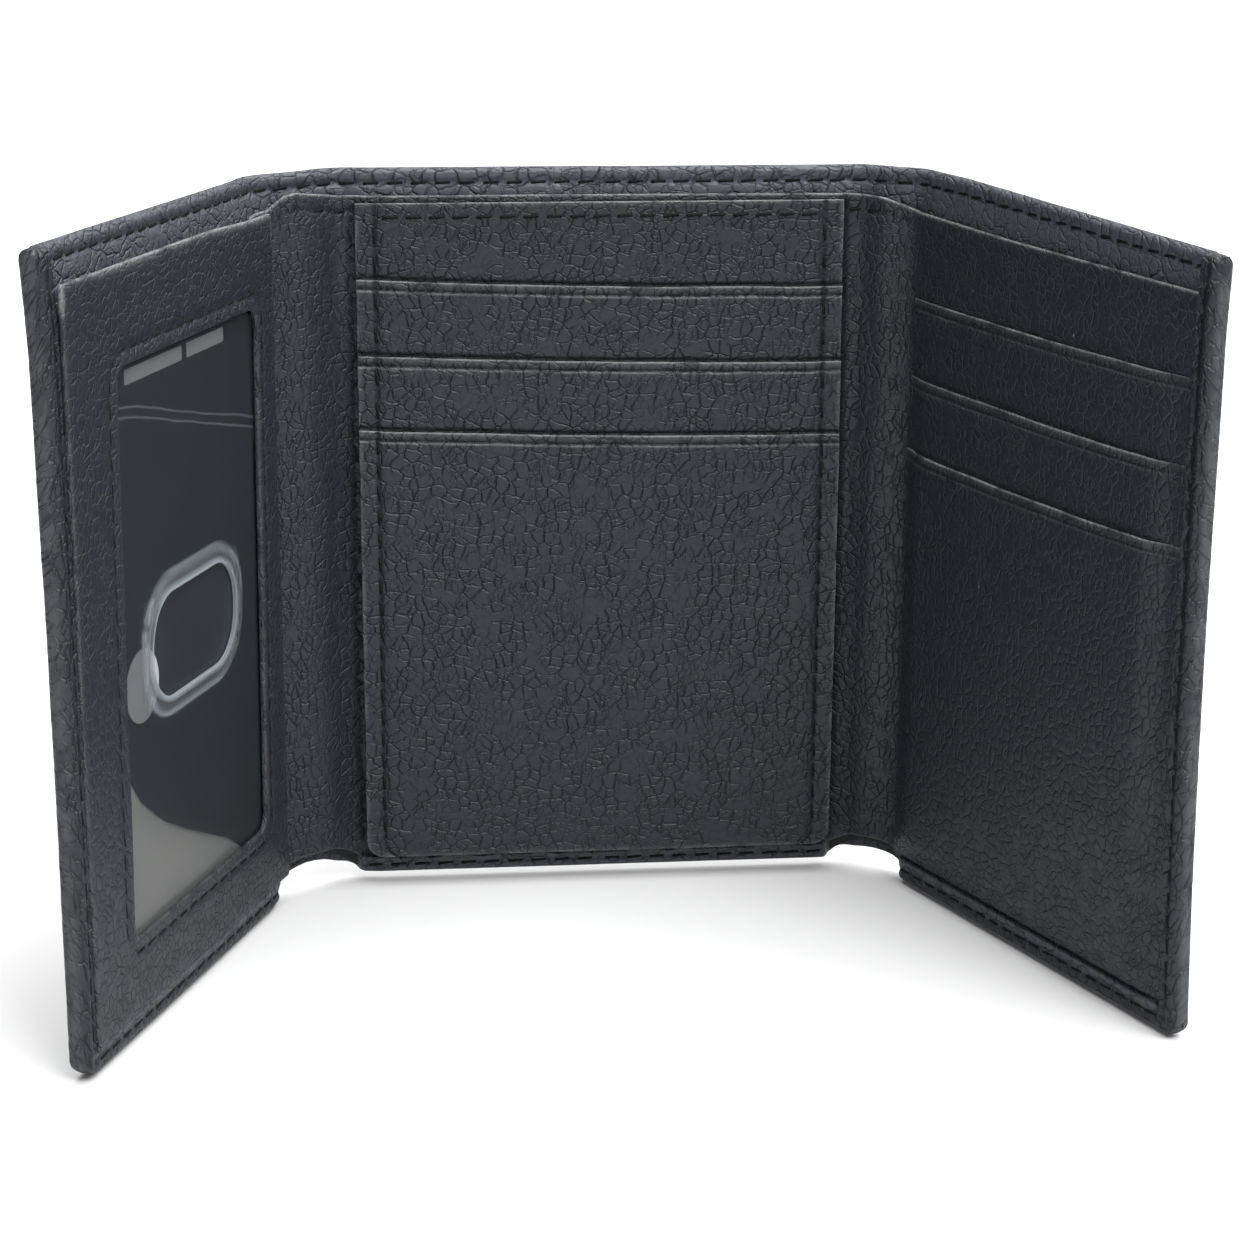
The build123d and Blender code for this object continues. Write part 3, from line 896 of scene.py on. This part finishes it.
def frameRelief(u, z, front, back, distance):
    fromWindow = outsideOf(u, z, window["box"], window["corner"])
    front = front + 0.1 * waves(u, z, (20, 20)) + 0.12 * waves(u, z, (2.2, 30), 6.0) * smooth((u + 62) / 6)
    front = front - 0.3 * ridge(fromWindow, window["seam"], 0.4) + 0.12 * ridge(fromWindow, 0.8, 0.6)
    inside = np.clip(1 - np.abs(outsideOf(u, z, frameLook["box"], 0.5)) / 6, 0, 1)
    dip = 0.6 * smooth((u + 75) / 18) * smooth((z - 92) / 8)
    return front, back, slanted(u, z) * (1 - inside) + u * inside, z - dip


def roundedDepth(isFront, front, back, distance, radius):
    fall = inset(distance, radius)
    return np.where(isFront, front - fall, back + fall)


windowEdge, frameEdge = (window["box"], window["corner"]), (frameLook["box"], frameLook["corner"])
shares = linesBetween(0, 1, 1 / frameLook["rows"],
                      [(0, [0.005, 0.015, 0.035, 0.07, 0.11]), (1, [-0.005, -0.015, -0.035, -0.07])])
idFrame, u, z, isFront = ringSheet("idFrame", windowEdge, frameEdge, 0.8, window["corner"], shares)
distance = np.maximum(np.minimum(outsideOf(u, z, *windowEdge), -outsideOf(u, z, *frameEdge)), 0)
front, back, placeU, placeZ = frameRelief(u, z, frameLook["front"], frameLook["back"], distance)
depth = roundedDepth(isFront, front, back, distance, frameLook["round"])
wearAndHighlight = np.exp(-distance / 0.4) * np.where(z > 100, 1, 0.2)      # lighter edges, partly wear and partly painted highlight, mostly along the top
finishSheet(idFrame, np.stack([placeU, placeZ, depth], 1), wearAndHighlight, "left_wing", innerLeather)
standsFor(idFrame, "id_frame", "left_wing")

# clear vinyl behind it, with a welded ring round its thumb hole
vinylBox = tuple(edge + way * vinyl["overlap"] for edge, way in zip(window["box"], (-1, 1, -1, 1)))
holeEdge = (vinyl["hole"], vinyl["holeCorner"])
shares = linesBetween(0, 1, 0.06, [(0, [0.004, 0.012, 0.03, 0.055, 0.075, 0.09, 0.105, 0.12])])
idWindow, u, z, isFront = ringSheet("idWindow", holeEdge, (vinylBox, 0), 0.9, 3.0, shares)
distance = np.maximum(outsideOf(u, z, *holeEdge), 0)
ring = vinyl["ringHeight"] * smooth((vinyl["ringWidth"] + 0.3 - distance) / 0.6)
sway = 0.05 * waves(u, z, (20, 12))
front, back = vinyl["front"] + ring + sway - 0.1 * ring * ridge(distance, 1.2, 0.7), vinyl["back"] + sway * 0.5
depth = roundedDepth(isFront, front, back, distance, vinyl["round"])
haze = ridge(distance, 0.2, 0.35) + ridge(distance, vinyl["ringWidth"], 0.35)
haze = np.clip(haze + 0.22 * (distance < vinyl["ringWidth"]), 0, 1)
flat = np.stack([slanted(u, z), z, depth], 1)
finishSheet(idWindow, flat, haze, "left_wing", clearVinyl, smoothAngle=30)
standsFor(idWindow, "id_window", "left_wing")

# the card that came with it, cut to a curve at its lower edge
insert = {"left": -104.5, "right": -57.6, "bottom": 14.5, "top": 93.0, "back": 2.0, "front": 2.2,
          "round": 0.08, "step": 1.1,
          "curve": [(-104.6, 39.0), (-101.2, 35.3), (-97.9, 31.1), (-91.5, 26.3), (-84.3, 22.5), (-77.9, 19.6),
                    (-70.7, 16.3), (-65.0, 12.8), (-57.6, 9.0)]}


def insertRelief(u, z, front, back, distance):
    low = np.interp(u, *zip(*insert["curve"]))
    share = (z - insert["bottom"]) / (insert["top"] - insert["bottom"])
    bow = 0.04 * waves(u, z, (30, 25), 8.0)
    return front + bow, back + bow, u, low + share * (insert["top"] - low)


card = sheet("insertCard", insert, "insert", insertCard, insertRelief)
standsFor(card, "id_insert", "insert")
print("identity window ready")


# cloth: the lining of the note pocket and the tails behind the card slots
cloth = {"round": 0.08, "thick": 0.18, "bottom": 1.3, "top": 98.9, "liningFront": 1.2, "liningBack": 1.01,
         "rise": 1.1}      # rise keeps the lining above the shell's arches


def clothSheet(name, spec, body, material, relief=None):
    piece = sheet(name, dict(spec, round=cloth["round"]), body, material, relief)
    return piece


def liningRelief(side):
    def relief(u, z, front, back, distance):
        off = standOff(u, z, side)
        return front - off, back - off, u, z + cloth["rise"] * arch(u, z, side)

    return relief


def liningQuarter(name, spec, side, line):
    spec = dict(spec, bottom=cloth["bottom"], top=cloth["top"], back=cloth["liningBack"],
                front=cloth["liningFront"], step=1.5)
    return clothSheet(name, spec, None, darkLining, liningRelief(side))


foldedLayer("lining", wallet["left"] + wallet["inside"], wallet["right"] - wallet["inside"],
            [["bill_lining_left_wing", "bill_lining_left_spine"], ["bill_lining_centre"],
             ["bill_lining_right_spine"], ["bill_lining_right_wing"]], liningQuarter)

# body, node, left, right, bottom, top, back, and the piece it lies on
tails = {
    "slipLining": ("centre", "slip_pocket_lining", -34.6, 34.6, 5.5, 91.6, 2.62, ["wallLeftInner"]),
    "cardTailTop": ("centre", "card_lining_top", -33.3, 33.3, 8.0, 77.4, 3.62, ["blockBack"]),
    "cardTailMiddle": ("centre", "card_lining_middle", -33.3, 33.3, 8.0, 66.6, 4.22, ["blockBack"]),
    "wingTailTop": ("right_wing", "wing_lining_top", 52.3, 110.0, 8.0, 75.2, 2.62, ["wallRightOuter"]),
    "wingTailMiddle": ("right_wing", "wing_lining_middle", 52.3, 110.0, 8.0, 64.4, 3.22, ["wallRightOuter"]),
}
for name, (body, node, left, right, bottom, top, back, restsOn) in tails.items():
    spec = {"left": left, "right": right, "bottom": bottom, "top": top,
            "back": back, "front": back + cloth["thick"], "step": 2.5}
    standsFor(clothSheet(name, spec, body, darkLining), node, body)
spec = {"left": -116.8, "right": -55.2, "bottom": 4.4, "top": 101.0, "back": 1.72, "front": 1.9, "step": 1.5}
piece = clothSheet("idPocketBack", spec, "left_wing", greyLining)
standsFor(piece, "id_pocket_back", "left_wing")
print("linings ready")


# thread: one stitch, copied along every seam
thread = {"pitch": 3.25, "length": 2.35, "width": 0.5, "tip": 0.15, "dive": 0.07, "sink": 0.05, "slant": 5.0}


def makeStitch():
    deselectAll()
    length = thread["length"] - 2 * thread["tip"]
    bpy.ops.mesh.primitive_cylinder_add(vertices=8, radius=thread["width"] / 2, depth=length,
                                        rotation=(0, math.pi / 2, 0))
    obj = bpy.context.object
    obj.name = "oneStitch"
    bpy.ops.object.transform_apply(location=False, rotation=True, scale=False)
    bpy.ops.object.mode_set(mode="EDIT")
    bpy.ops.mesh.select_mode(type="FACE")
    bpy.ops.mesh.select_all(action="DESELECT")
    bpy.ops.object.mode_set(mode="OBJECT")
    for way in (-1, 1):
        for face in obj.data.polygons:
            face.select = face.normal.x * way > 0.9
        bpy.ops.object.mode_set(mode="EDIT")
        move = {"value": (way * thread["tip"], 0, -thread["dive"])}
        bpy.ops.mesh.extrude_region_move(TRANSFORM_OT_translate=move)
        bpy.ops.transform.resize(value=(1, 0.45, 0.45))
        bpy.ops.object.mode_set(mode="OBJECT")
    inEditMode(obj, lambda: bpy.ops.mesh.normals_make_consistent(inside=False))
    return obj


oneStitch = makeStitch()
stitchCo = placesOf(oneStitch)
stitchFaces = [tuple(face.vertices) for face in oneStitch.data.polygons]


def evenly(start, end):
    count = max(1, int((end - start) / thread["pitch"]))
    return start + (np.arange(count) + 0.5) * (end - start) / count


def rowAlong(z, start, end):
    return [(u, z, 0.0) for u in evenly(start, end)]


def rowUp(u, start, end):
    return [(u, z, 90.0) for z in evenly(start, end)]


# places are (u, z, turn); the leather's own relief says how deep each stitch lies
def seam(name, places, relief, front, body=None):
    u, z, turn = (np.array(column, float) for column in zip(*places))
    depth, _, placeU, placeZ = relief(u, z, np.full(u.shape, float(front)), np.zeros(u.shape),
                                      np.full(u.shape, 9.0))
    flat, faces = [], []
    for index in range(len(u)):
        wobble = noise.noise(Vector((u[index] * 1.7, z[index] * 1.7, 3.0)))
        angle = math.radians(turn[index] + thread["slant"] * (1 + wobble))
        along, over = stitchCo[:, 0] * (1 + 0.08 * wobble), stitchCo[:, 1]
        faces += [tuple(vertex + index * len(stitchCo) for vertex in face) for face in stitchFaces]
        flat.append(np.stack([placeU[index] + along * math.cos(angle) - over * math.sin(angle),
                              placeZ[index] + along * math.sin(angle) + over * math.cos(angle),
                              depth[index] + stitchCo[:, 2] - thread["sink"]], 1))
    mesh = bpy.data.meshes.new(name)
    mesh.from_pydata([(0, 0, 0)] * (len(u) * len(stitchCo)), [], faces)
    obj = bpy.data.objects.new(name, mesh)
    bpy.context.scene.collection.objects.link(obj)
    flat = np.concatenate(flat)
    finishSheet(obj, flat, flat[:, 0] * 0, body, blackThread, 60)
    if body:
        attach(obj, body)
    return obj


# where each quarter's rows start and end, and the node its thread stands for
shellRows = {"LeftOuter": (-115.5, -45.6, ["stitching_left_spine"]), "LeftInner": (-44.9, -0.3, []),
             "RightInner": (0.3, 42.9, ["stitching_right_spine"]),
             "RightOuter": (43.6, 113.5, ["stitching_right_wing"])}
for name, (start, end, nodes) in shellRows.items():
    side, line, _ = quarters[name]
    notch = skin["notch"][side] + 0.6
    low = (start, middle[side] - notch) if start < middle[side] else (middle[side] + notch, end)
    places = rowAlong(skin["hemSeam"], start, end) + rowAlong(skin["seam"], *low)
    if line == "outer":
        places += rowUp(wallet[side] - folds[side]["sign"] * skin["endSeam"], 4.5, 103.5)
    piece = seam("seam" + name, places, skinRelief(side), leather["skin"])
    if nodes:
        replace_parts(piece, *nodes)
    blendAcross(piece, side, line)

for name, start, end in (("LeftInner", -44.9, -36.0), ("RightInner", 36.0, 42.9)):
    side, line, _ = quarters[name]
    piece = seam("wallSeam" + name, rowAlong(wall["seam"], start, end), wallRelief(side), leather["wallFront"])
    blendAcross(piece, side, line)

# the block's side seams, one band on each strip that shows
bands = [(block["slots"][0] + 0.8, block["topSeam"] - 0.7, block["top"], block["backFront"], 0)]
for index, slot in enumerate(block["slots"]):
    low = block["slots"][index + 1] + 0.8 if index < 2 else 8.0
    front = block["backFront"] + (index + 1) * (pocket["thick"] + pocket["gap"])
    bands.append((low, slot - 0.6, slot, front, 1))
for index, (low, high, top, front, slotted) in enumerate(bands):
    spec = {"left": -block["half"], "right": block["half"], "top": top}
    places = rowUp(-block["seam"], low, high) + rowUp(block["seam"], low, high)
    if not slotted:
        places += rowAlong(block["topSeam"], -block["seam"] + 0.6, block["seam"] - 0.6)
    tilt = block["tilt"] if slotted else 0.0
    piece = seam(f"blockSeam{index}", places, pocketRelief(spec, blockSeams, tilt, slotted), front, "centre")
    if index == 0:
        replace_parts(piece, "stitching_centre")

left, right, bottom, top = window["box"]
places = rowAlong(bottom - window["seam"], left, right) + rowAlong(top + window["seam"], left, right)
places += rowUp(left - window["seam"], bottom, top) + rowUp(right + window["seam"], bottom, top)
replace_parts(seam("frameSeam", places, frameRelief, frameLook["front"], "left_wing"), "stitching_left_wing")

bpy.data.objects.remove(oneStitch)
print("seams ready")


# the room: pale floor, soft light, and the camera
room = {"floor": (0.9, 0.9, 0.9, 1), "bounce": (0.6, 0.6, 0.61, 1), "sky": 0.65, "wall": 0.16,
        "camera": (-39.6, -417.0, 164.8), "lens": 83.75, "pitch": 16.67, "yaw": 5.97, "roll": 0.38,
        "lights": {"topLight": ((0.7, 0.0, 2.4), (4.4, 4.6), 180),
                   "keyLight": ((0.7, -1.3, 1.8), (0.8, 0.8), 16)}}


def areaLight(name, place, target, size, power):
    deselectAll()
    bpy.ops.object.light_add(type="AREA", location=place)
    light = bpy.context.object
    light.name = name
    light.data.shape = "RECTANGLE"
    light.data.size, light.data.size_y = size
    light.data.energy = power
    light.rotation_euler = (Vector(target) - Vector(place)).to_track_quat("-Z", "Y").to_euler()


# pale to the camera, and a little darker for the light it throws back
def floorMaterial():
    material = bpy.data.materials.new("floorPaper")
    material.use_nodes = True
    tree = material.node_tree
    seen = addNode(tree, "ShaderNodeLightPath").outputs["Is Camera Ray"]
    paint(tree, tree.nodes["Principled BSDF"], mixColour(tree, seen, room["bounce"], room["floor"]), 0.9)
    return material


deselectAll()
bpy.ops.mesh.primitive_grid_add(x_subdivisions=2, y_subdivisions=2, size=6, location=(0, 0, -0.0005))
floor = bpy.context.object
floor.name = "floor"
floor.data.materials.append(floorMaterial())


# a white room that lights the wallet only softly
def makeWorld():
    world = bpy.data.worlds.new("studio")
    world.use_nodes = True
    tree = world.node_tree
    seen = addNode(tree, "ShaderNodeLightPath").outputs["Is Camera Ray"]
    up = addNode(tree, "ShaderNodeSeparateXYZ", None,
                 Vector=addNode(tree, "ShaderNodeTexCoord").outputs["Generated"])
    soft = mapRange(tree, up.outputs["Z"], 0.0, 1.0, room["wall"], room["sky"])
    soft = times(tree, soft, mapRange(tree, up.outputs["X"], -1.0, 0.4, 0.3, 1.0))      # darker to the left
    background = tree.nodes["Background"].inputs
    feed(tree, background["Color"], (1, 1, 1, 1))
    feed(tree, background["Strength"], mathNode(tree, "MAXIMUM", soft, seen))
    return world


bpy.context.scene.world = makeWorld()
for name, (place, size, power) in room["lights"].items():
    areaLight(name, place, (0, 0, 0.05), size, power)

deselectAll()
bpy.ops.object.camera_add(location=[value * mm for value in room["camera"]])
camera = bpy.context.object
camera.data.lens, camera.data.sensor_width = room["lens"], 36
camera.data.clip_start, camera.data.clip_end = 0.01, 20
yaw, pitch, roll = (math.radians(room[key]) for key in ("yaw", "pitch", "roll"))
forward = Vector((math.sin(yaw) * math.cos(pitch), math.cos(yaw) * math.cos(pitch), -math.sin(pitch)))
camera.rotation_mode = "QUATERNION"
camera.rotation_quaternion = forward.to_track_quat("-Z", "Y") @ Quaternion((0, 0, 1), roll)
bpy.context.scene.camera = camera
bpy.context.scene.view_settings.view_transform = "Standard"
print("room ready")
